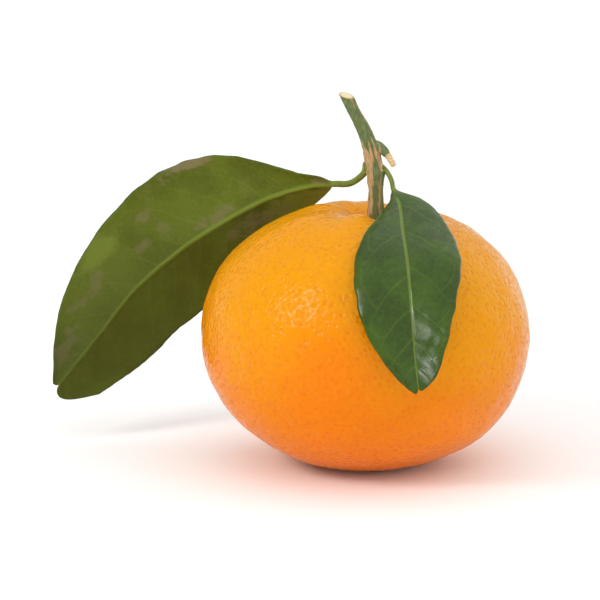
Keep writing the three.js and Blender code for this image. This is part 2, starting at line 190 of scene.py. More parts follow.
# What is uneven on a leaf, as height, size and seed: the course of veins, the edge, ripples and patches.
VEIN_WOBBLE = [(0.28, 5, 1)]
NOTCHES = [(0.04, 2.6, 3), (0.02, 0.8, 4)]
NOTCH_SPAN = (0.02, 0.15, 0.97, 1)
NOTCH_OFFSET = 9
RIPPLES = [(0.045, 3.4, 5), (0.014, 1.1, 6)]
PATCH_STRAY = [(0.3, 1.8, 8), (0.16, 0.6, 9)]
PATCH_EDGE = (0.35, 1.2)
RAGGEDNESS = {"scabs": 1, "pale_and_painted_light": 0.35}

LARGE_LEAF = {
    "petiole": [(0.7, 0.3, 60.4), (-0.9, 1.2, 58.15), (-3.2, 4.4, 56.25)],
    "stations": [
        ((-6.4, 8.0, 55.6), (-0.5, -0.56, 0.58), 1.7, 0.6),
        ((-11.0, 11.2, 54.6), (-0.5, -0.5, 0.65), 3.3, 4.9),
        ((-17.1, 15.15, 52.4), (-0.5, -0.38, 0.76), 8.0, 8.0),
        ((-23.2, 18.35, 49.3), (-0.52, -0.25, 0.8), 12.1, 10.0),
        ((-30.25, 20.7, 44.85), (-0.57, -0.13, 0.8), 14.9, 12.1),
        ((-37.6, 21.65, 39.9), (-0.6, -0.06, 0.78), 15.4, 13.5),
        ((-47.3, 21.2, 31.5), (-0.68, -0.02, 0.72), 13.4, 12.6),
        ((-54.9, 19.3, 22.1), (-0.85, 0, 0.5), 9.6, 11.3),
        ((-63.2, 16.0, 12.2), (-0.97, 0, 0.22), 1.2, 8.6),
    ],
    "tip_lobes": (0.2, 2.9),
    "tip_folds": (0, 0),
    "fold_degrees": 20,
    "recurve": 0.16,
    "wave": {"height": 0.4, "count": 2.6, "turn": 0.6},
    "teeth": {"height": 0.09, "count": 13},
    "petiole_radius": 0.65,
    "midrib_radius": 0.62,
    "row_step": 0.29,
    "right_veins": (4.5, 10.5, 17, 24, 30.5, 37, 44, 51, 58, 65, 71),
    "left_veins": (7, 13.5, 20, 27, 34, 40.5, 47.5, 54, 61, 68, 73.5),
    "vein_slant": 54,
    "vein_relief": 0.03,
    "groove": 0.05,
    # The first pale patch, on the left half near the base, is painted light; the second is a pale blotch.
    "pale_and_painted_light": [(9, -5, 15, 5.5, 0.95), (51, 11, 5, 3, 0.6)],
    "scabs": [
        (27, 14, 7.5, 1.5, 0.85),
        (28, 1.6, 4, 1.5, 0.5),
        (21, -4, 7, 2.2, 0.6),
        (41, 10.3, 2.4, 1.6, 0.5),
        (45, 5.3, 2, 1.4, 0.4),
        (38.6, 5.1, 2, 1.2, 0.35),
        (59, 6.8, 4.4, 2, 0.45),
        (68, 4, 4.4, 1.8, 0.6),
        (2, 1, 2.4, 0.9, 0.5),
    ],
    # How strongly the painted shade darkens the blade towards its tip.
    "shaded_tip": 1.3,
    "seed": 11,
}

SMALL_LEAF = {
    "petiole": [(2.9, -0.2, 60.0), (4.2, -0.6, 59.3), (5.1, -1.8, 57.8)],
    "stations": [
        ((5.5, -4.0, 56.0), (1, 0.12, -0.1), 3.2, 0.5),
        ((6.4, -9.2, 53.9), (1, 0.1, -0.08), 7.1, 2.3),
        ((6.8, -18.8, 50.2), (1, 0.08, -0.04), 9.9, 7.2),
        ((7.3, -26.0, 46.3), (1, 0.06, 0), 10.4, 9.9),
        ((7.7, -31.3, 41.4), (1, 0.06, 0), 9.2, 10.3),
        ((8.1, -34.4, 35.7), (1, 0.05, 0), 7.4, 9.5),
        ((8.5, -37.1, 30.1), (1, 0.03, 0), 5.5, 6.9),
        ((8.9, -38.9, 26.3), (1, 0, 0), 3.7, 4.2),
        ((9.1, -39.8, 24.2), (1, 0, 0), 1.5, 1.9),
    ],
    "tip_lobes": (0.55, 1.1),
    "tip_folds": (18, 0),
    "fold_degrees": 9,
    "recurve": 0.2,
    "wave": {"height": 0.3, "count": 2.1, "turn": 1.2},
    "teeth": {"height": 0.1, "count": 9},
    "petiole_radius": 0.48,
    "midrib_radius": 0.5,
    "row_step": 0.22,
    "right_veins": (5.5, 15.6, 26, 34.6, 42, 47),
    "left_veins": (7, 16.4, 28.4, 35.6, 41.5, 46.5),
    "vein_slant": 47,
    "vein_relief": 0.03,
    "groove": 0.08,
    "pale_and_painted_light": [],
    "scabs": [(12, -5.0, 2.0, 0.9, 0.4), (22, 7.5, 1.2, 0.8, 0.4)],
    "shaded_tip": 0,
    "seed": 5,
}

# The view: a point that the camera looks at, its distance, and how far it looks down.
AIM = (-13.04, 0, 33.3)
CAMERA_DISTANCE = 550
CAMERA_DOWN = 11
FOCAL_LENGTH = 164.5
SENSOR_WIDTH = 36

# Softboxes, by direction, distance, side and brightness, the sky, and the faint even light.
KEY = {"towards": (-0.7, -0.47, 0.56), "distance": 620, "side": 172, "radiance": 12.2}
RIM = {"towards": (0.6, 0.76, 0.24), "distance": 2600, "side": 1350, "radiance": 0.4}
SKY = {"towards": (0.48, -0.34, 0.82), "angle": 130, "strength": 1.62}
ROOM_LIGHT = 0.62

# The floor: flat for a long way, then a low rim that curves up, all round.
FLOOR = {"flat_radius": 4000, "rim_radius": 6000, "rim_height": 1200, "sides": 120, "rim_steps": 16}


def smoothstep(low, high, value):
    share = np.clip((value - low) / (high - low), 0, 1)
    return share * share * (3 - 2 * share)


def unit(vectors):
    return vectors / np.linalg.norm(vectors, axis=-1, keepdims=True)


def bell(value):
    return np.exp(-(value ** 2))


def waves(points, size, seed):
    """Smooth random swings about zero whose humps are about size wide. A size may differ by axis."""
    draw = np.random.default_rng(seed)
    directions = unit(draw.normal(size=(WAVE_COUNT, 3)))
    turns = directions * (math.pi / draw.uniform(*WAVE_SIZES, WAVE_COUNT))[:, None]
    phases = draw.uniform(0, 2 * math.pi, WAVE_COUNT)
    swings = np.sin(points / np.asarray(size, float) @ turns.T + phases)
    return swings.sum(axis=-1) * math.sqrt(2 / WAVE_COUNT)


def layered_waves(points, layers, first_seed=0):
    """Random swings in layers, each of its own height, size and seed."""
    return sum(height * waves(points, size, first_seed + seed) for height, size, seed in layers)


def added(name, data):
    thing = bpy.data.objects.new(name, data)
    bpy.context.scene.collection.objects.link(thing)
    return thing


def smooth_piece(name, mesh, marks):
    """A smooth piece from a mesh, with named values at each point for its finish."""
    for mark, values in marks.items():
        layer = mesh.attributes.new(mark, "FLOAT", "POINT")
        layer.data.foreach_set("value", np.asarray(values, np.float32).ravel())
    mesh.shade_smooth()
    return added(name, mesh)


def mesh_piece(name, points, faces, marks):
    """A smooth piece from points, in millimetres, and faces."""
    mesh = bpy.data.meshes.new(name)
    mesh.from_pydata((points * MM).tolist(), [], faces)
    return smooth_piece(name, mesh, marks)


def cube_sphere(cells):
    """Directions over a sphere and its four-sided faces, near even in size: a cube blown round."""
    steps = np.tan(np.linspace(-1, 1, cells + 1) * math.pi / 4)
    first, second = (grid.ravel() for grid in np.meshgrid(steps, steps, indexing="ij"))
    corners = np.arange((cells + 1) ** 2).reshape(cells + 1, cells + 1)
    a, b, c, d = corners[:-1, :-1], corners[1:, :-1], corners[1:, 1:], corners[:-1, 1:]
    quads = np.stack([a, b, c, d], axis=-1).reshape(-1, 4)
    points, faces = [], []
    for axis in range(3):
        for sign in (1, -1):
            side = np.empty((len(first), 3))
            side[:, axis] = sign
            side[:, (axis + 1) % 3] = first
            side[:, (axis + 2) % 3] = second
            faces.append((quads if sign > 0 else quads[:, ::-1]) + sum(map(len, points)))
            points.append(side)
    points = np.vstack(points)
    _, kept, number = np.unique(np.rint(points * MERGE_GRID), axis=0, return_index=True, return_inverse=True)
    return unit(points[kept]), number.ravel()[np.vstack(faces)]


# The fruit's form.
BASE_DROP = WIDEST_LEVEL / (1 - (RESTING_RADIUS / FRUIT_RADIUS) ** BASE_SQUARENESS) ** (1 / BASE_SQUARENESS)
REST_ANGLE = math.atan2(RESTING_RADIUS, -WIDEST_LEVEL)


def hollow_depth(x, y):
    """How far the crown sinks, seen from above."""
    across = np.hypot(x - STALK_X, y)
    around = np.arctan2(y, x - STALK_X)
    funnel = FUNNEL["depth"] * bell(across / FUNNEL["width"])
    pit = PIT["depth"] * bell(across / PIT["width"])
    ring = bell((across - FURROW_RING["radius"]) / FURROW_RING["width"])
    pucker = sum(depth * np.cos(lobes * around + turn) for lobes, depth, turn in FURROWS)
    return funnel + pit + pucker * ring * smoothstep(0, FURROW_RING["starts_at"], across)


def fine_pucker(x, y):
    """Fine furrows that run out from the stalk."""
    across = np.hypot(x - STALK_X, y)
    around = np.arctan2(y, x - STALK_X)
    fine = FINE_FURROWS
    ring = bell((across - fine["radius"]) / fine["width"])
    bend = fine["bend"] * np.sin(fine["bends"] * around)
    return fine["depth"] * np.cos(fine["lobes"] * around + fine["turn"] + bend) * ring


def spots(directions, places):
    """Round soft spots on the fruit added up, by azimuth, level, height and spread."""
    total = np.zeros(len(directions))
    for azimuth, level, height, spread in places:
        turn, up = math.radians(azimuth), math.radians(level)
        middle = np.array([math.cos(up) * math.cos(turn), math.cos(up) * math.sin(turn), math.sin(up)])
        angle = np.degrees(np.arccos(np.clip(directions @ middle, -1, 1)))
        total += height * bell(angle / spread)
    return total


def hill_height(directions):
    polar = np.arccos(np.clip(directions[:, 2], -1, 1))
    fade = 1 - smoothstep(REST_ANGLE - HILL_FADE_ANGLE, REST_ANGLE, polar)
    return fade * spots(directions, HILLS)


def fruit_reach(directions):
    """The skin's distance from the middle of the widest level, in each direction."""
    x, y, z = directions.T
    crown = z > 0
    rise = np.where(crown, CROWN_RISE, BASE_DROP)
    power = np.where(crown, CROWN_SQUARENESS, BASE_SQUARENESS)
    squares = (np.hypot(x, y) / FRUIT_RADIUS) ** power + (np.abs(z) / rise) ** power
    body = squares ** (-1 / power) + hill_height(directions)
    reach = body
    for _ in range(HOLLOW_STEPS):
        reach = body - np.where(crown, hollow_depth(x * reach, y * reach), 0)
    return reach


def fruit_points(directions):
    """Points of the skin, with a shallow dimple inside the ring that it rests on."""
    points = directions * fruit_reach(directions)[:, None]
    points[:, 2] += WIDEST_LEVEL
    polar = np.arccos(np.clip(directions[:, 2], -1, 1))
    under = polar >= REST_ANGLE
    flat = directions[under] * (-WIDEST_LEVEL / directions[under, 2])[:, None]
    across = np.hypot(flat[:, 0], flat[:, 1])
    dimple = DIMPLE["depth"] * np.clip(1 - (across / DIMPLE["radius"]) ** 2, 0, 1) ** 2
    scar = SCAR["depth"] * bell((across / SCAR["radius"]) ** 2)
    points[under] = np.column_stack([flat[:, :2], dimple + scar])
    return points


def even_directions(count, stray, seed):
    """Directions spread evenly over a sphere along a spiral, each strayed a little."""
    draw = np.random.default_rng(seed)
    number = np.arange(count) + 0.5
    level = 1 - 2 * number / count
    turn = number * math.pi * (3 - math.sqrt(5))
    across = np.sqrt(1 - level ** 2)
    spiral = np.column_stack([across * np.cos(turn), across * np.sin(turn), level])
    return unit(spiral + draw.normal(scale=stray / FRUIT_RADIUS, size=(count, 3)))


def gland_pits(points):
    """The depth of the oil glands' pits at each point, and how near it is to the middle of one."""
    tree = KDTree(len(points))
    for i, point in enumerate(points.tolist()):
        tree.insert(point, i)
    tree.balance()
    draw = np.random.default_rng(GLAND_SEEDS["sizes"])
    middles = fruit_points(even_directions(GLANDS["count"], GLANDS["stray"], GLAND_SEEDS["places"]))
    radii = draw.uniform(*GLANDS["radius"], len(middles))
    depths = draw.uniform(*GLANDS["depth"], len(middles))
    depth, nearness = np.zeros((2, len(points)))
    for middle, radius, deep in zip(middles.tolist(), radii.tolist(), depths.tolist()):
        for _, i, distance in tree.find_range(middle, radius):
            shape = (1 - (distance / radius) ** 2) ** 2
            depth[i] = max(depth[i], deep * shape)
            nearness[i] = max(nearness[i], shape)
    return depth, nearness


def fruit_piece():
    directions, faces = cube_sphere(FRUIT_CELLS)
    points = fruit_points(directions)
    depth, nearness = gland_pits(points)
    x, y, _ = points.T
    across = np.hypot(x, y)
    from_stalk = np.hypot(x - STALK_X, y)
    low = directions[:, 2] < 0
    crown = np.where(directions[:, 2] > 0, 1, 0)
    resting = np.where(low, 1 - smoothstep(RESTING_RADIUS, RESTING_RADIUS + RESTING_BLEND, across), 0)
    calm = 1 - crown * (1 - smoothstep(*CALM_BY_STALK, from_stalk))
    lift = (layered_waves(points, HUMPS) - depth) * calm + crown * fine_pucker(x, y)
    points = points + directions * (lift * (1 - resting))[:, None]
    marks = {
        "gland": nearness,
        "scar": np.where(low, bell((across / SCAR["radius"]) ** 2), 0),
        # Painted shade in the crown's hollow, carried to the finish.
        "hollow": crown * bell(from_stalk / FUNNEL["width"]),
        # Painted shade at the listed spots, carried to the finish.
        "painted_shade_spots": spots(directions, PAINTED_SHADE_SPOTS),
    }
    return mesh_piece("rind", points, faces.tolist(), marks)


# The calyx's form.
def hollow_points(across, around, above):
    """Points given from the stalk, seen from above, at a height over the hollow's floor."""
    x = STALK_X + across * np.cos(around)
    y = across * np.sin(around)
    z = np.full_like(x, CROWN_RISE)
    for _ in range(HOLLOW_STEPS):
        reach = fruit_reach(unit(np.column_stack([x, y, z])))
        z = np.sqrt(np.maximum(reach ** 2 - x ** 2 - y ** 2, 0))
    return np.column_stack([x, y, z + WIDEST_LEVEL + above])


def calyx_reach(around):
    middle = (CALYX["tip"] + CALYX["notch"]) / 2
    swing = (CALYX["tip"] - CALYX["notch"]) / 2
    uneven = sum(height * np.sin(count * around + turn) for height, count, turn in CALYX_SWINGS)
    return middle + swing * np.cos(CALYX["points"] * around) + uneven


def calyx_top(around, reach, share):
    """The upper side's height over the hollow's floor, at a share of the way out."""
    across = reach * share
    point = np.maximum(np.cos(CALYX["points"] * around), 0)
    rounding = math.sqrt(1 - share ** CALYX_BODY["rounding"])
    thickness = CALYX_BODY["thickness"] * (1 - CALYX_BODY["thinning"] * share ** 3) * rounding
    boss = CALYX_BOSS["height"] * (1 - smoothstep(CALYX_BOSS["inner"], CALYX_BOSS["outer"], across))
    swing = np.cos(CALYX_RIDGES["count"] * around + np.sin(CALYX_RIDGES["sway"] * around))
    ridges = CALYX_RIDGES["height"] * swing * (1 - share ** CALYX_RIDGES["fade"])
    keel = CALYX_KEEL["height"] * point ** CALYX_KEEL["sharpness"]
    curl = CALYX_CURL["height"] * point * smoothstep(*CALYX_CURL["starts"], share)
    fine = (ridges + keel) * smoothstep(*CALYX_RIDGES["starts"], across)
    return CALYX["gap"] + thickness + boss + fine + curl


def calyx_piece():
    around = np.linspace(0, 2 * math.pi, CALYX_SIDES, endpoint=False)
    reach = calyx_reach(around)
    shares = [i / CALYX_RINGS for i in range(1, CALYX_RINGS + 1)]
    rings = [(reach * share, CALYX["gap"]) for share in shares]
    rings += [(reach * share, calyx_top(around, reach, share)) for share in shares[::-1]]
    points = [hollow_points(across, around, above) for across, above in rings]
    middle_low = hollow_points(np.zeros(1), np.zeros(1), CALYX["gap"])
    middle_high = middle_low + [0, 0, CALYX_BODY["thickness"] + CALYX_BOSS["height"]]
    points = np.vstack([*points, middle_low, middle_high])
    points[:, 2] += CALYX_GRAIN["height"] * waves(points, CALYX_GRAIN["size"], CALYX_GRAIN["seed"])
    rim = np.append(np.repeat(shares + shares[::-1], CALYX_SIDES), [0, 0])
    return mesh_piece("calyx_star", points, closed_ring_faces(len(rings), CALYX_SIDES), {"rim": rim})


def ring_faces(rings, sides):
    """Four-sided faces between rings of equal length that follow each other."""
    here = np.arange(sides)
    after = (here + 1) % sides
    faces = []
    for ring in range(rings - 1):
        low, high = ring * sides, (ring + 1) * sides
        faces += np.column_stack([low + here, low + after, high + after, high + here]).tolist()
    return faces


def closed_ring_faces(rings, sides):
    """Ring faces closed by a fan at each end. The middles of the two fans are the last points."""
    faces = ring_faces(rings, sides)
    middle, last = rings * sides, (rings - 1) * sides
    for i in range(sides):
        step = (i + 1) % sides
        faces += [(middle, step, i), (middle + 1, last + i, last + step)]
    return faces


# Curves for twig and leaves.
def spline(points, places):
    """A smooth curve through points, at places counted in points from the first."""
    points = np.asarray(points, float)
    padded = np.vstack([2 * points[0] - points[1], points, 2 * points[-1] - points[-2]])
    first = np.clip(np.floor(places).astype(int), 0, len(points) - 2)
    t = (places - first)[:, None]
    before, start, end, after = (padded[first + i] for i in range(4))
    leaving, arriving = (end - before) / 2, (after - start) / 2
    blend_start = 2 * t ** 3 - 3 * t ** 2 + 1
    return (
        blend_start * start
        + (1 - blend_start) * end
        + (t ** 3 - 2 * t ** 2 + t) * leaving
        + (t ** 3 - t ** 2) * arriving
    )


def even_places(points, step):
    """Places along a curve, a step apart in length, with the curve's length at each."""
    fine = np.linspace(0, len(points) - 1, ROUTE_POINTS)
    route = spline(points, fine)
    lengths = np.append(0, np.cumsum(np.linalg.norm(np.diff(route, axis=0), axis=1)))
    wanted = np.linspace(0, lengths[-1], max(int(lengths[-1] / step), 2) + 1)
    return np.interp(wanted, lengths, fine), wanted


# The twig's form.
SHOOT_TIP = np.array(SHOOT[-1][:3])
SHOOT_END_LINE = unit(SHOOT_TIP - np.array(SHOOT[-2][:3]))


def limb(stations, cut=None):
    """A closed round limb along stations. A cut slopes its far end down towards a direction."""
    route = [s[:3] for s in stations]
    places, _ = even_places(route, TWIG_STEP)
    centres = spline(route, places)
    radii = spline([(s[3],) for s in stations], places)
    along = unit(np.gradient(centres, axis=0))
    front = np.array([0, -1.0, 0])
    first = unit(front - along * (along @ front)[:, None])
    second = np.cross(along, first)
    turn = np.linspace(0, 2 * math.pi, TWIG_SIDES, endpoint=False)[:, None]
    spokes = (first[:, None] * np.cos(turn) + second[:, None] * np.sin(turn)) * radii[:, None]
    points = centres[:, None] + spokes
    if cut:
        drop = cut["slope"] * spokes[-1] @ np.array(cut["towards"])
        points[-1] -= along[-1] * drop[:, None]
        for back in range(1, cut["rings_moved"] + 1):
            limit = points[-1] @ along[-1] - back * TWIG_STEP * cut["least_step"]
            beyond = np.maximum(points[-1 - back] @ along[-1] - limit, 0)
            points[-1 - back] -= along[-1] * beyond[:, None]
    faces = closed_ring_faces(len(places), TWIG_SIDES)
    return np.vstack([points.reshape(-1, 3), centres[:1], centres[-1:]]), faces


def fused_limbs():
    """The three limbs joined into one skin, still in millimetres."""
    points, faces = [], []
    for part in (limb(STALK), limb(SHOOT, SHOOT_CUT), limb(STUB)):
        start = sum(map(len, points))
        points.append(part[0])
        faces += [tuple(start + i for i in face) for face in part[1]]
    mesh = bpy.data.meshes.new("limbs")
    mesh.from_pydata(np.vstack(points).tolist(), [], faces)
    rough = added("limbs", mesh)
    remesh = rough.modifiers.new("join", "REMESH")
    remesh.mode = "VOXEL"
    remesh.voxel_size = TWIG_VOXEL
    shown = rough.evaluated_get(bpy.context.evaluated_depsgraph_get())
    joined = bpy.data.meshes.new_from_object(shown)
    bpy.data.objects.remove(rough)
    return joined


def read_vectors(items, kind):
    """Points or normals of a mesh, as rows."""
    values = np.empty(len(items) * 3, np.float32)
    items.foreach_get(kind, values)
    return values.reshape(-1, 3).astype(float)


def relax(mesh, points, hold):
    """Each point moves part of the way to the middle of its neighbours, except where it is held."""
    ends = np.empty(len(mesh.edges) * 2, np.int32)
    mesh.edges.foreach_get("vertices", ends)
    one, two = ends.reshape(-1, 2).T
    count = np.bincount(ends, minlength=len(points))
    for _ in range(TWIG_SOFTENING["rounds"]):
        total = np.zeros_like(points)
        np.add.at(total, one, points[two])
        np.add.at(total, two, points[one])
        points = points + (total / count[:, None] - points) * (TWIG_SOFTENING["share"] * (1 - hold))[:, None]
    return points


def around_twig(points):
    """Points given from the twig's line: sideways, backwards, and their level."""
    line_x, line_y, line_z, _ = np.array(STALK[:STATIONS_BELOW_FORK] + SHOOT[1:]).T
    x, y, z = points.T
    return np.column_stack([x - np.interp(z, line_z, line_x), y - np.interp(z, line_z, line_y), z])


def cut_marks(points):
    """Where the cut face is, and each point's distance from its middle, in radii of the shoot."""
    along = SHOOT_END_LINE
    towards = np.array(SHOOT_CUT["towards"])
    facing = unit(along + SHOOT_CUT["slope"] * (towards - along * (towards @ along)))
    off = points - SHOOT_TIP
    cut = smoothstep(*CUT_FACE["starts"], off @ facing) * (points[:, 2] > CUT_FACE["level"])
    spread = np.linalg.norm(off - np.outer(off @ along, along), axis=1) / SHOOT[-1][3]
    return cut, spread


def break_mark(points):
    """Where the stub is broken off and shows its wood."""
    root, middle, tip = (np.array(s[:3]) for s in STUB[2:])
    off = points - middle
    down = off @ unit(tip - root) + layered_waves(points, BREAK["ragged"])
    near = np.linalg.norm(off, axis=1) < BREAK["reach"]
    return smoothstep(*BREAK["starts"], down) * near * smoothstep(*STUB_SIDE, points[:, 0])


def cork_mark(points, local, streak):
    """Where the bark is corky: in streaks on the stalk's sides and back, and round the fork."""
    x, y, height = local.T
    level = smoothstep(*CORK["from"], height) * (1 - smoothstep(*CORK["to"], height))
    sides = np.maximum(smoothstep(*CORK["side"], np.abs(x)), smoothstep(*CORK["back"], y))
    cork = (
        CORK_SHARES["streak"] * streak
        + CORK_SHARES["sides"] * level * sides
        + CORK_SHARES["level"] * level
        + CORK_SHARES["fork"] * bell((height - CORK_FORK["level"]) / CORK_FORK["width"])
    )
    return smoothstep(*CORK["least"], cork) * (1 - smoothstep(*STUB_SIDE, points[:, 0]))


def bark_relief(points, local, marks):
    """How far the bark stands out: ribs, grain and cork, bare at the cut and the break, and splinters."""
    around = np.arctan2(local[:, 1], local[:, 0])
    ribs = sum(height * np.cos(count * around + twist * local[:, 2]) for height, count, twist in BARK_RIBS)
    grain = layered_waves(local, BARK_GRAIN)
    corky = marks["cork"] * (CORK_HEIGHT + layered_waves(local, CORK_GRAIN))
    bark = (ribs + grain + corky) * (1 - marks["cut"]) * (1 - marks["broken"])
    return bark + marks["broken"] * layered_waves(points, SPLINTERS)


def twig_piece():
    mesh = fused_limbs()
    points = read_vectors(mesh.vertices, "co")
    past_tip = (points - SHOOT_TIP) @ SHOOT_END_LINE
    points = relax(mesh, points, TWIG_SOFTENING["held"] * smoothstep(*TWIG_SOFTENING["held_from"], past_tip))
    mesh.vertices.foreach_set("co", points.ravel())
    mesh.update()
    normals = read_vectors(mesh.vertex_normals, "vector")
    local = around_twig(points)
    cut, spread = cut_marks(points)
    cork = cork_mark(points, local, layered_waves(local, STREAKS))
    marks = {"cork": cork, "cut": cut, "spread": spread, "broken": break_mark(points)}
    points = points + normals * bark_relief(points, local, marks)[:, None]
    mesh.vertices.foreach_set("co", (points * MM).ravel())
    mesh.name = "twig_bark"
    mesh.update()
    return smooth_piece("twig_bark", mesh, marks)


# The leaves' form.
def leaf_columns():
    """Places across a leaf from its right edge, 1, to its left edge, -1, crowded near the midrib."""
    even = np.linspace(1, -1, 2 * LEAF_COLUMNS + 1)
    return np.sign(even) * np.abs(even) ** COLUMN_CROWDING


class LeafGrid:
    """A leaf's rows, along petiole and midrib, and its columns, across from the right edge to the left."""

    def __init__(self, leaf):
        stations = leaf["stations"]
        route = leaf["petiole"] + [s[0] for s in stations]
        lead, last = len(leaf["petiole"]), len(stations) - 1
        places, self.lengths = even_places(route, leaf["row_step"])
        on_blade = np.clip(places - lead, 0, last)
        self.middle = spline(route, places)
        self.along = unit(np.gradient(self.middle, axis=0))
        self.right = unit(spline([s[1] for s in stations], on_blade))
        self.upper = unit(np.cross(self.along, self.right))
        self.columns = leaf_columns()[None, :]
        self.out = np.abs(self.columns)
        self.shares = ((places - lead) / last)[:, None]
        self.run = (self.lengths - np.interp(lead, places, self.lengths))[:, None] + 0 * self.columns
        inside = np.clip(self.shares, 0, 1)
        self.rib_radius = leaf["midrib_radius"] * (1 - MIDRIB_TAPER * inside)
        self.opened = smoothstep(*BLADE_OPENS, self.shares)
        widths = spline([s[2:] for s in stations], on_blade)
        teeth = leaf["teeth"]["height"] * np.sin(2 * math.pi * leaf["teeth"]["count"] * self.shares)
        notches = layered_waves(self.flat(np.sign(self.columns) * NOTCH_OFFSET), NOTCHES, leaf["seed"])
        notched = smoothstep(*NOTCH_SPAN[:2], self.shares) * (1 - smoothstep(*NOTCH_SPAN[2:], self.shares))
        plain_half = self.by_side(widths[:, 0:1], widths[:, 1:2])
        self.half = plain_half + teeth * np.sin(math.pi * inside) + notches * notched
        self.across = self.half * self.columns

    def by_side(self, right, left):
        """One value over the right half, another over the left."""
        return np.where(self.columns < 0, left, right)

    def flat(self, across):
        """Places on the leaf laid flat: along the midrib, across it, and zero."""
        across = across + 0 * self.run
        return np.stack([self.run, across, 0 * across], axis=-1)


def vein_pattern(leaf, grid):
    """How near each point is to a side vein, and how high the blade swells between two of them."""
    slant = math.radians(leaf["vein_slant"])
    wobble = layered_waves(grid.flat(grid.across), VEIN_WOBBLE, leaf["seed"])
    out = np.abs(grid.across)
    share = out / np.maximum(grid.half, LEAST_HALF)
    source = grid.run - out / math.tan(slant) * (1 + SIDE_VEIN["bend"] * share ** 2) + wobble
    by_half = (vein_phase(leaf[veins], source) for veins in ("right_veins", "left_veins"))
    phase, gap = (grid.by_side(*pair) for pair in zip(*by_half))
    width = SIDE_VEIN["width"] * (1 - SIDE_VEIN["taper"] * share) + SIDE_VEIN["least"]
    nearest = np.minimum(phase, 1 - phase) * gap * math.sin(slant)
    fading = (1 - smoothstep(*SIDE_VEIN["ends"], share)) * (1 - SIDE_VEIN["fading"] * share)
    arc = VEIN_LOOP["share"] - VEIN_LOOP["dip"] * phase ** VEIN_LOOP["curve"]
    loop = VEIN_LOOP["strength"] * bell((share - arc) * grid.half / VEIN_LOOP["width"])
    minor = MINOR_VEIN["strength"] * bell((phase - 0.5) * gap / MINOR_VEIN["width"])
    vein = np.maximum(bell(nearest / width) * fading, loop * smoothstep(*VEIN_LOOP["half"], grid.half))
    vein = np.maximum(vein, minor * (1 - smoothstep(*MINOR_VEIN["ends"], share)))
    swell = np.sin(math.pi * phase) * (1 - smoothstep(*SWELL_ENDS, share))
    beside_rib = (out > 0) * grid.opened
    return vein * beside_rib, swell * beside_rib


def vein_phase(veins, source):
    """How far a point's source on the midrib is from one vein to the next, and the gap between these two."""
    first, last = veins[0] - VEINS_BEYOND["spacing"], veins[-1] + VEINS_BEYOND["spacing"]
    starts = np.array([*VEINS_BEYOND["before"], first, *veins, last, VEINS_BEYOND["after"]], float)
    number = np.clip(np.searchsorted(starts, source) - 1, 0, len(starts) - 2)
    gap = starts[number + 1] - starts[number]
    return np.clip((source - starts[number]) / gap, 0, 1), gap


def patch_pattern(leaf, kind, flat):
    """Patches of one kind, as soft spots with a ragged outline."""
    stray = layered_waves(flat, PATCH_STRAY, leaf["seed"]) * RAGGEDNESS[kind]
    patch = np.zeros(flat.shape[:-1])
    for along, across, length, width, share in leaf[kind]:
        away = np.hypot((flat[..., 0] - along) / length, (flat[..., 1] - across) / width)
        patch = np.maximum(patch, share * (1 - smoothstep(*PATCH_EDGE, away + stray)))
    return patch


def blade_sheet(leaf, grid):
    """The middle of the blade's thickness: folded, waved, and with two lobes at the tip."""
    tip_fold = grid.by_side(*leaf["tip_folds"])
    towards_tip = smoothstep(*TIP_FOLD_SPAN, grid.shares)
    fold_angle = np.radians(leaf["fold_degrees"] + tip_fold * towards_tip)
    recurve = leaf["recurve"] * np.where(tip_fold > 0, 1 - TIP_RECURVE_LOSS * towards_tip, 1)
    fold = np.tan(fold_angle) * grid.out - recurve * grid.out ** 3
    wave = leaf["wave"]
    swing = np.sin(2 * math.pi * wave["count"] * grid.shares + wave["turn"] * np.sign(grid.columns))
    waving = wave["height"] * swing * grid.out ** 2 * smoothstep(0, WAVE_START, grid.shares)
    lobes = grid.by_side(*leaf["tip_lobes"]) * np.sin(math.pi * grid.out ** TIP_LOBE_LEAN)
    forward = lobes * smoothstep(TIP_LOBES_START, 1, grid.shares)
    return (
        grid.middle[:, None]
        + grid.right[:, None] * grid.across[..., None]
        + grid.upper[:, None] * (grid.half * fold + waving)[..., None]
        + grid.along[:, None] * forward[..., None]
    )


def blade_skins(leaf, grid, vein, swell):
    """The blade's two skins, with ripples, side veins, a groove over the midrib and its ridge below."""
    sheet = blade_sheet(leaf, grid)
    normal = unit(np.cross(np.gradient(sheet, axis=0), -np.gradient(sheet, axis=1)))
    rounding = np.sqrt(np.clip(1 - grid.out ** EDGE_SQUARENESS, 0, 1))
    edge = rounding * np.sqrt(np.clip(1 - smoothstep(*TIP_ROUNDING, grid.shares), 0, 1))
    veins = leaf["vein_relief"] * vein
    ripple = layered_waves(grid.flat(grid.across), RIPPLES, leaf["seed"])
    relief = (SWELL_SHARE * leaf["vein_relief"] * swell + ripple) * grid.opened * edge
    groove = leaf["groove"] * grid.opened * bell(grid.across / (GROOVE_WIDTH * grid.rib_radius)) * edge
    ridge = grid.rib_radius * MIDRIB_RIDGE * bell(grid.across / grid.rib_radius) * edge
    body = LEAF_THICKNESS / 2 * edge
    high = body + relief - veins - groove
    low = body - relief + veins + ridge
    return sheet + normal * high[..., None], sheet - normal * low[..., None]


def petiole_skins(leaf, grid):
    """The two halves of a round petiole, swollen where it leaves the twig."""
    sideways = unit(grid.right - grid.along * np.sum(grid.right * grid.along, axis=1, keepdims=True))
    upright = np.cross(grid.along, sideways)
    flare = 1 + (PETIOLE["flare"] - 1) * bell(grid.lengths / PETIOLE["flare_length"])
    radius = leaf["petiole_radius"] * flare[:, None, None]
    turn = np.linspace(0, math.pi, grid.columns.size)[:, None]
    beside = grid.middle[:, None] + sideways[:, None] * radius * np.cos(turn)
    above = upright[:, None] * radius * np.sin(turn)
    return beside + above, beside - above


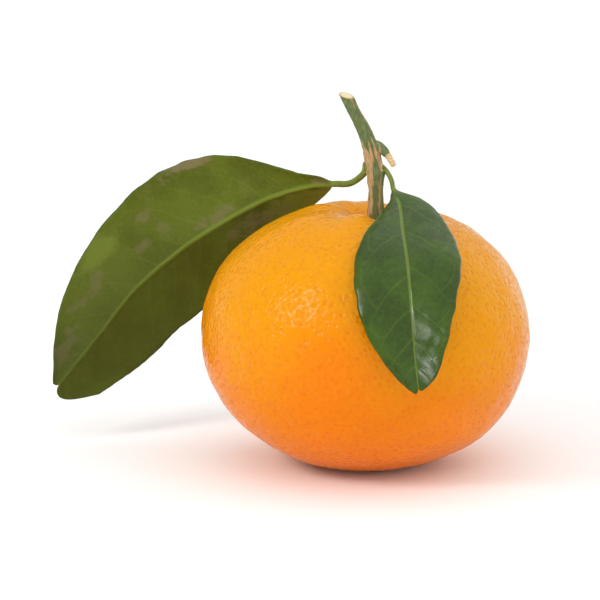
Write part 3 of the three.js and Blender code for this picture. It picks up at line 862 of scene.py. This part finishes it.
def painted_shade_mark(leaf, grid):
    """Painted shade, where the underside is coloured darker: over its left half, and over both halves near a
    shaded tip.
    """
    left = smoothstep(*SHADE["across"], grid.columns)
    tip = leaf["shaded_tip"]
    left_shade = smoothstep(*SHADE["left"], grid.shares) * (1 + tip * smoothstep(*SHADE["tip"], grid.shares))
    near_rib = 1 - grid.out / 2 * (1 - smoothstep(*SHADE["edge"], grid.shares))
    right_shade = 2 * tip * smoothstep(*SHADE["right"], grid.shares) * near_rib
    return left * left_shade + (1 - left) * right_shade


def leaf_piece(name, leaf):
    """A leaf as one closed skin: a round petiole that flattens into a blade with its midrib and veins."""
    grid = LeafGrid(leaf)
    vein, swell = vein_pattern(leaf, grid)
    blade = blade_skins(leaf, grid, vein, swell)
    flatten = smoothstep(*PETIOLE["flattens"], grid.shares)
    top, bottom = (
        round_skin * (1 - flatten[..., None]) + flat_skin * flatten[..., None]
        for round_skin, flat_skin in zip(petiole_skins(leaf, grid), blade)
    )
    rib_above, rib_below = (bell(grid.across / (width * grid.rib_radius)) for width in RIB_TINT_WIDTHS)
    flat = grid.flat(grid.across)
    none = np.zeros_like(grid.across)
    both = {
        "vein": vein,
        "scab": patch_pattern(leaf, "scabs", flat),
        # Pale patches: pale blotches, and painted light near the large leaf's base.
        "pale_and_painted_light": patch_pattern(leaf, "pale_and_painted_light", flat),
        "stem": 1 - flatten + none,
        # Painted shade on the underside.
        "shade": painted_shade_mark(leaf, grid),
    }
    marks = {mark: (values, values) for mark, values in both.items()}
    marks["rib"] = (rib_above * grid.opened, rib_below)
    marks["upper"] = (none + 1, none)
    return leaf_mesh(name, top, bottom, marks)


def leaf_mesh(name, top, bottom, marks):
    """Joins the two skins at their edges and tip, and closes the petiole with a point."""
    apart = np.ones(top.shape[:2], bool)
    apart[-1] = apart[:, 0] = apart[:, -1] = False
    upper_number = np.arange(apart.size).reshape(apart.shape)
    lower_number = upper_number.copy()
    lower_number[apart] = apart.size + np.arange(apart.sum())
    top[-1] = (top[-1] + bottom[-1]) / 2
    top[:, 0] = (top[:, 0] + bottom[:, 0]) / 2
    top[:, -1] = (top[:, -1] + bottom[:, -1]) / 2
    points = np.vstack([top.reshape(-1, 3), bottom[apart], top[0].mean(axis=0)[None]])

    def cells(number):
        parts = [number[:-1, :-1], number[:-1, 1:], number[1:, 1:], number[1:, :-1]]
        return np.stack(parts, axis=-1).reshape(-1, 4)

    faces = cells(upper_number).tolist() + cells(lower_number)[:, ::-1].tolist()
    centre = len(points) - 1
    ring = [*upper_number[0].tolist(), *lower_number[0, -2:0:-1].tolist()]
    faces += [(centre, after, here) for here, after in zip(ring, ring[1:] + ring[:1])]
    values = {}
    for mark, (over, below) in marks.items():
        values[mark] = np.concatenate([over.ravel(), below[apart], [over[0, 0]]])
    return mesh_piece(name, points, faces, values)


# Finishes.
def colour(code):
    """A colour's linear values from its usual six-digit code."""
    parts = [int(code[i:i + 2], 16) / 255 for i in (1, 3, 5)]
    linear = [p / 12.92 if p <= 0.04045 else ((p + 0.055) / 1.055) ** 2.4 for p in parts]
    return (*linear, 1)


class Finish:
    """A material's node tree, with a short call for each kind of node."""

    def __init__(self, name, **values):
        self.material = bpy.data.materials.new(name)
        self.material.use_nodes = True
        self.tree = self.material.node_tree
        self.shader = self.tree.nodes["Principled BSDF"]
        for socket, value in values.items():
            self.shader.inputs[socket.replace("_", " ")].default_value = value
        self.place = self.node("ShaderNodeTexCoord").outputs["Object"]

    def node(self, kind, inputs=None, **settings):
        node = self.tree.nodes.new(kind)
        for setting, value in settings.items():
            setattr(node, setting, value)
        for socket, value in (inputs or {}).items():
            self.feed(node.inputs[socket], value)
        return node

    def feed(self, socket, value):
        if isinstance(value, bpy.types.NodeSocket):
            self.tree.links.new(value, socket)
        else:
            socket.default_value = colour(value) if isinstance(value, str) else value

    def mark(self, name):
        return self.node("ShaderNodeAttribute", attribute_name=name).outputs["Fac"]

    def noise(self, size, detail=2.0, roughness=0.5, place=None):
        scale = 1 / (size * MM)
        inputs = {"Vector": place or self.place, "Scale": scale, "Detail": detail, "Roughness": roughness}
        return self.node("ShaderNodeTexNoise", inputs).outputs["Fac"]

    def cells(self, size, feature="F1"):
        inputs = {"Vector": self.place, "Scale": 1 / (size * MM)}
        return self.node("ShaderNodeTexVoronoi", inputs, feature=feature).outputs["Distance"]

    def stretched(self, x, y, z):
        return self.node("ShaderNodeMapping", {"Vector": self.place, "Scale": (x, y, z)}).outputs["Vector"]

    def height(self):
        return self.node("ShaderNodeSeparateXYZ", {"Vector": self.place}).outputs["Z"]

    def spread(self, value, low, high, to_low=0.0, to_high=1.0):
        inputs = {"Value": value, "From Min": low, "From Max": high, "To Min": to_low, "To Max": to_high}
        return self.node("ShaderNodeMapRange", inputs, interpolation_type="SMOOTHSTEP").outputs["Result"]

    def worked_out(self, operation, one, two):
        node = self.node("ShaderNodeMath", operation=operation)
        self.feed(node.inputs[0], one)
        self.feed(node.inputs[1], two)
        return node.outputs[0]

    def plus(self, one, two):
        return self.worked_out("ADD", one, two)

    def times(self, one, two):
        return self.worked_out("MULTIPLY", one, two)

    def ramp(self, value, stops):
        node = self.node("ShaderNodeValToRGB", {"Fac": value})
        elements = node.color_ramp.elements
        while len(elements) < len(stops):
            elements.new(0.5)
        for element, (position, code) in zip(elements, stops):
            element.position = position
            element.color = colour(code)
        return node.outputs["Color"]

    def mix(self, share, one, two, mode="MIX"):
        node = self.node("ShaderNodeMix", data_type="RGBA", blend_type=mode)
        first, second = [socket for socket in node.inputs if socket.type == "RGBA"]
        self.feed(node.inputs["Factor"], share)
        self.feed(first, one)
        self.feed(second, two)
        return [socket for socket in node.outputs if socket.type == "RGBA"][0]

    def relief(self, depths):
        """Fine relief from pairs of a value and its depth in millimetres."""
        normal = None
        for value, depth in depths:
            inputs = {"Height": value, "Distance": depth * MM, "Strength": 1.0}
            if normal:
                inputs["Normal"] = normal
            normal = self.node("ShaderNodeBump", inputs).outputs["Normal"]
        self.feed(self.shader.inputs["Normal"], normal)

    def surface(self, base, roughness):
        self.feed(self.shader.inputs["Base Color"], base)
        self.feed(self.shader.inputs["Roughness"], roughness)
        return self.material


def rind_finish():
    f = Finish("rind", Specular_IOR_Level=0.12, Subsurface_Weight=0.08, Subsurface_Scale=1.0 * MM)
    f.shader.inputs["Subsurface Radius"].default_value = (1.0, 0.5, 0.15)
    # Colour by height, redder and deeper orange low down, yellower near the crown: partly the rind's own
    # colour and partly painted light and shade, as less light reaches the lower rind.
    level = f.spread(f.height(), 0, 52 * MM)
    patchy = f.plus(level, f.spread(f.noise(13, 2), 0.3, 0.7, -0.1, 0.1))
    skin = f.ramp(patchy, [(0.0, "#f08603"), (0.3, "#e38202"), (0.6, "#e09102"), (0.85, "#de9303")])
    # Painted shade: a deeper orange at the listed spots.
    skin = f.mix(f.times(f.mark("painted_shade_spots"), 0.8), skin, "#e87402")
    gland = f.spread(f.mark("gland"), 0.1, 0.9)
    depth = f.times(gland, f.spread(f.noise(2.2, 1), 0.35, 0.65, 0.05, 0.3))
    skin = f.mix(depth, skin, "#f6cc9c", "MULTIPLY")
    cells = f.cells(1.15)
    pores = f.spread(cells, 0.1, 0.4, 0.48, 0.0)
    pores = f.times(pores, f.spread(f.noise(3.5, 1), 0.35, 0.6, 0.5, 1.0))
    skin = f.mix(pores, skin, "#fad2a8", "MULTIPLY")
    skin = f.mix(f.spread(f.noise(1.5, 3), 0.55, 0.75, 0.0, 0.2), skin, "#eaa414")
    # Painted shade: a deeper orange in the crown's hollow round the stalk.
    skin = f.mix(f.times(f.mark("hollow"), 0.15), skin, "#e48416")
    skin = f.mix(f.mark("scar"), skin, "#6b5527")
    f.relief([(f.noise(0.55, 2), 0.008), (f.spread(cells, 0.0, 0.6), 0.13)])
    rough = f.plus(f.spread(f.noise(1.2, 2), 0.3, 0.7, 0.13, 0.19), f.times(gland, 0.08))
    return f.surface(skin, rough)


# A leaf side's colours are its darker and lighter green, veins, midrib and blotches. The shaded share is how
# far the painted shade darkens the underside.
LARGE_LEAF_LOOK = {
    "upper": ("#2f421b", "#405426", "#52652c", "#76833c", "#4c5a30"),
    "lower": ("#525c12", "#5c6918", "#7c8c36", "#718328", "#7d7350"),
    "roughness": (0.31, 0.44),
    "gloss": 0.14,
    "vein_strength": 0.2,
    "shaded": 0.28,
}
SMALL_LEAF_LOOK = {
    "upper": ("#2d420b", "#3a530f", "#566f1c", "#66782e", "#4a5f28"),
    "lower": ("#5a6b30", "#6e7f40", "#85935a", "#8a965c", "#6f7745"),
    "roughness": (0.15, 0.28),
    "gloss": 0.24,
    "vein_strength": 0.45,
    "shaded": 0.0,
}


def leaf_finish(name, look):
    """Both sides of a leaf and its petiole. The upper side shines more."""
    f = Finish(name, Specular_IOR_Level=look["gloss"], Subsurface_Weight=0.04, Subsurface_Scale=0.5 * MM)
    f.shader.inputs["Subsurface Radius"].default_value = (0.6, 1.0, 0.2)
    ground = f.plus(f.spread(f.noise(9, 2), 0.3, 0.7), f.spread(f.noise(0.9, 3), 0.3, 0.7, -0.2, 0.2))
    net = f.spread(f.cells(1.15, "DISTANCE_TO_EDGE"), 0.0, 0.09, 1.0, 0.0)
    sides = []
    for dark, light, vein, rib, blotch in (look["upper"], look["lower"]):
        tone = f.ramp(ground, [(0.1, dark), (0.9, light)])
        tone = f.mix(f.times(net, 0.14), tone, vein)
        # Lighter patches: pale blotches, and painted light near the large leaf's base.
        tone = f.mix(f.mark("pale_and_painted_light"), tone, vein)
        patch = f.times(f.spread(f.noise(5.5, 4, 0.6), 0.58, 0.74), 0.18)
        tone = f.mix(f.worked_out("MAXIMUM", patch, f.mark("scab")), tone, blotch)
        tone = f.mix(f.times(f.mark("vein"), look["vein_strength"]), tone, vein)
        tone = f.mix(f.spread(f.mark("rib"), 0.12, 0.8), tone, rib)
        sides.append(tone)
    # Painted shade: the underside is mixed towards a dark olive where the shade mark is.
    under = f.mix(f.times(f.mark("shade"), look["shaded"]), sides[1], "#34370b")
    skin = f.mix(f.mark("upper"), under, sides[0])
    skin = f.mix(f.mark("stem"), skin, f.ramp(f.noise(1.5, 3), [(0.3, "#5c6a22"), (0.7, "#77853a")]))
    f.relief([(net, -0.004), (f.noise(0.35, 2), 0.008)])
    rough = f.spread(f.noise(2.5, 3), 0.3, 0.7, *look["roughness"])
    rough = f.node("ShaderNodeMix", {"Factor": f.mark("upper"), "A": 0.62, "B": rough}).outputs[0]
    return f.surface(skin, rough)


def bark_finish():
    f = Finish("bark", Specular_IOR_Level=0.3)
    grain = f.noise(0.35, 4, 0.6, f.stretched(1, 1, 0.18))
    green = f.ramp(grain, [(0.25, "#4c5a32"), (0.5, "#616f44"), (0.8, "#7d895a")])
    green = f.mix(f.spread(f.noise(2.2, 2), 0.45, 0.65, 0.0, 0.7), green, "#5f6e34")
    green = f.mix(f.spread(f.height(), 49 * MM, 53 * MM, 0.8, 0.0), green, "#6a6a2c")
    cork = f.ramp(grain, [(0.2, "#8f7450"), (0.55, "#b89668"), (0.85, "#d8b688")])
    bark = f.mix(f.mark("cork"), green, cork)
    broken = f.ramp(f.noise(0.3, 3), [(0.25, "#c6a26c"), (0.75, "#ecd0a6")])
    bark = f.mix(f.mark("broken"), bark, broken)
    years = [(0.0, "#cabb8e"), (0.14, "#dcd2ae"), (0.7, "#dacfa8"), (0.95, "#b98f5c")]
    bark = f.mix(f.mark("cut"), bark, f.ramp(f.mark("spread"), years))
    f.relief([(grain, 0.03), (f.noise(0.2, 3), 0.02)])
    return f.surface(bark, f.spread(grain, 0.2, 0.8, 0.62, 0.8))


def calyx_finish():
    f = Finish("calyx", Specular_IOR_Level=0.3)
    grain = f.noise(0.5, 4, 0.6)
    tone = f.ramp(grain, [(0.25, "#565f2c"), (0.55, "#6f7a3a"), (0.8, "#8c8a50")])
    tone = f.mix(f.spread(f.mark("rim"), 0.75, 1.0, 0.0, 0.75), tone, "#8a6f3f")
    f.relief([(grain, 0.03)])
    return f.surface(tone, f.spread(grain, 0.2, 0.8, 0.65, 0.85))


def floor_finish():
    f = Finish("floor", Specular_IOR_Level=0.1)
    return f.surface(f.ramp(f.noise(90, 1), [(0.3, "#fbfbfa"), (0.7, "#fdfdfc")]), 0.9)


# The stage.
def floor():
    sides = FLOOR["sides"]
    turn = np.linspace(2 * math.pi, 0, sides, endpoint=False)
    climb = np.linspace(0, math.pi / 2, FLOOR["rim_steps"])
    radii = FLOOR["flat_radius"] + (FLOOR["rim_radius"] - FLOOR["flat_radius"]) * np.sin(climb)
    heights = FLOOR["rim_height"] * (1 - np.cos(climb))
    circle = np.column_stack([np.cos(turn), np.sin(turn), np.zeros(sides)])
    rings = [circle * radius + [0, 0, height] for radius, height in zip(radii, heights)]
    faces = [list(reversed(range(sides)))] + ring_faces(len(rings), sides)
    sheet = mesh_piece("floor", np.vstack(rings), faces, {})
    sheet.data.materials.append(floor_finish())


def aim_at(thing, place, target):
    thing.location = place
    thing.rotation_euler = (Vector(target) - Vector(place)).to_track_quat("-Z", "Y").to_euler()


def softbox(name, box):
    side = box["side"] * MM
    data = bpy.data.lights.new(name, "AREA")
    data.shape = "SQUARE"
    data.size = side
    data.energy = box["radiance"] * math.pi * side * side
    light = added(name, data)
    middle = Vector((0, 0, WIDEST_LEVEL * MM))
    aim_at(light, middle + Vector(box["towards"]).normalized() * box["distance"] * MM, middle)
    light.visible_camera = False


def sky_light():
    """Even light from a wide round patch overhead."""
    data = bpy.data.lights.new("sky", "SUN")
    data.energy = SKY["strength"]
    data.angle = math.radians(SKY["angle"])
    aim_at(added("sky", data), Vector(SKY["towards"]), (0, 0, 0))


def studio():
    world = bpy.data.worlds.new("room")
    world.use_nodes = True
    background = world.node_tree.nodes["Background"]
    background.inputs["Color"].default_value = (1, 1, 1, 1)
    background.inputs["Strength"].default_value = ROOM_LIGHT
    bpy.context.scene.world = world
    bpy.context.scene.view_settings.view_transform = "Standard"
    softbox("key", KEY)
    softbox("rim", RIM)
    sky_light()


def camera():
    data = bpy.data.cameras.new("camera")
    data.lens = FOCAL_LENGTH
    data.sensor_width = SENSOR_WIDTH
    viewer = added("camera", data)
    down = math.radians(CAMERA_DOWN)
    aim = Vector(AIM) * MM
    aim_at(viewer, aim + Vector((0, -math.cos(down), math.sin(down))) * CAMERA_DISTANCE * MM, aim)
    bpy.context.scene.camera = viewer


def dress(piece, node, finish):
    piece.data.materials.clear()
    piece.data.materials.append(finish)
    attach(piece, "root")
    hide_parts(node)


camera()
floor()
studio()
dress(fruit_piece(), "fruit", rind_finish())
dress(calyx_piece(), "calyx", calyx_finish())
dress(twig_piece(), "twig", bark_finish())
large_finish = leaf_finish("large_leaf", LARGE_LEAF_LOOK)
small_finish = leaf_finish("small_leaf", SMALL_LEAF_LOOK)
dress(leaf_piece("large_blade", LARGE_LEAF), "large_leaf", large_finish)
dress(leaf_piece("small_blade", SMALL_LEAF), "small_leaf", small_finish)
